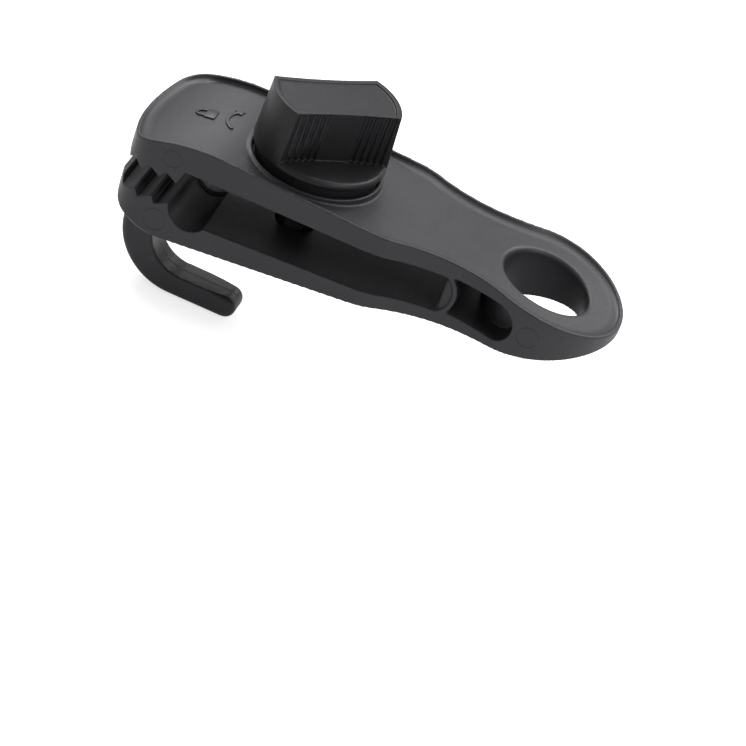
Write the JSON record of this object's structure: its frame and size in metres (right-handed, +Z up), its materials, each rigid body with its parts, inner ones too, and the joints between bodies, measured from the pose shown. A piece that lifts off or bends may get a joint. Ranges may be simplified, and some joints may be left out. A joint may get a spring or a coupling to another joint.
{
  "type": "tarp clip",
  "caption": "Moulded tarp clip: toothed jaws drawn together by a turning knob on a clamp screw, with a hook below and a rope eye at the tail.",
  "frame": {"origin": "middle of the rope eye", "axes": "+X from the teeth towards the rope eye, +Y across the clip, +Z up along the clamp screw towards the knob"},
  "size_m": [0.1133, 0.0352, 0.0605],
  "materials": {
    "body_plastic": "matte",
    "knob_plastic": "matte",
    "zinc_steel": "satin"
  },
  "bodies": {
    "body": {"upper_jaw": "body_plastic", "thrust_washer": "zinc_steel"},
    "knob": {"clamp_knob": "knob_plastic", "clamp_screw": "zinc_steel", "retaining_clip": "zinc_steel", "stop_ring": "zinc_steel"},
    "jaw": {"lower_jaw": "body_plastic"},
    "nut": {"clamp_nut": "zinc_steel"}
  },
  "joints": [
    {"name": "knob_turn", "type": "hinge", "parent": "body", "child": "knob", "pos_m": [-0.056, 0, 0.0107], "axis": [0, 0, 1], "range_deg": [-320, 0]},
    {"name": "jaw_close", "type": "hinge", "parent": "body", "child": "jaw", "pos_m": [-0.02, 0, -0.00609], "axis": [0, 1, 0], "range_deg": [0, 4.26]},
    {"name": "nut_rise", "type": "slide", "parent": "body", "child": "nut", "axis": [0, 0, 1], "range_m": [0, 0.00268]}
  ],
  "couplings": [
    {"joint": "jaw_close", "follows": "knob_turn", "ratio": -0.013281},
    {"joint": "nut_rise", "follows": "knob_turn", "m_per_rad": -0.00047746}
  ]
}
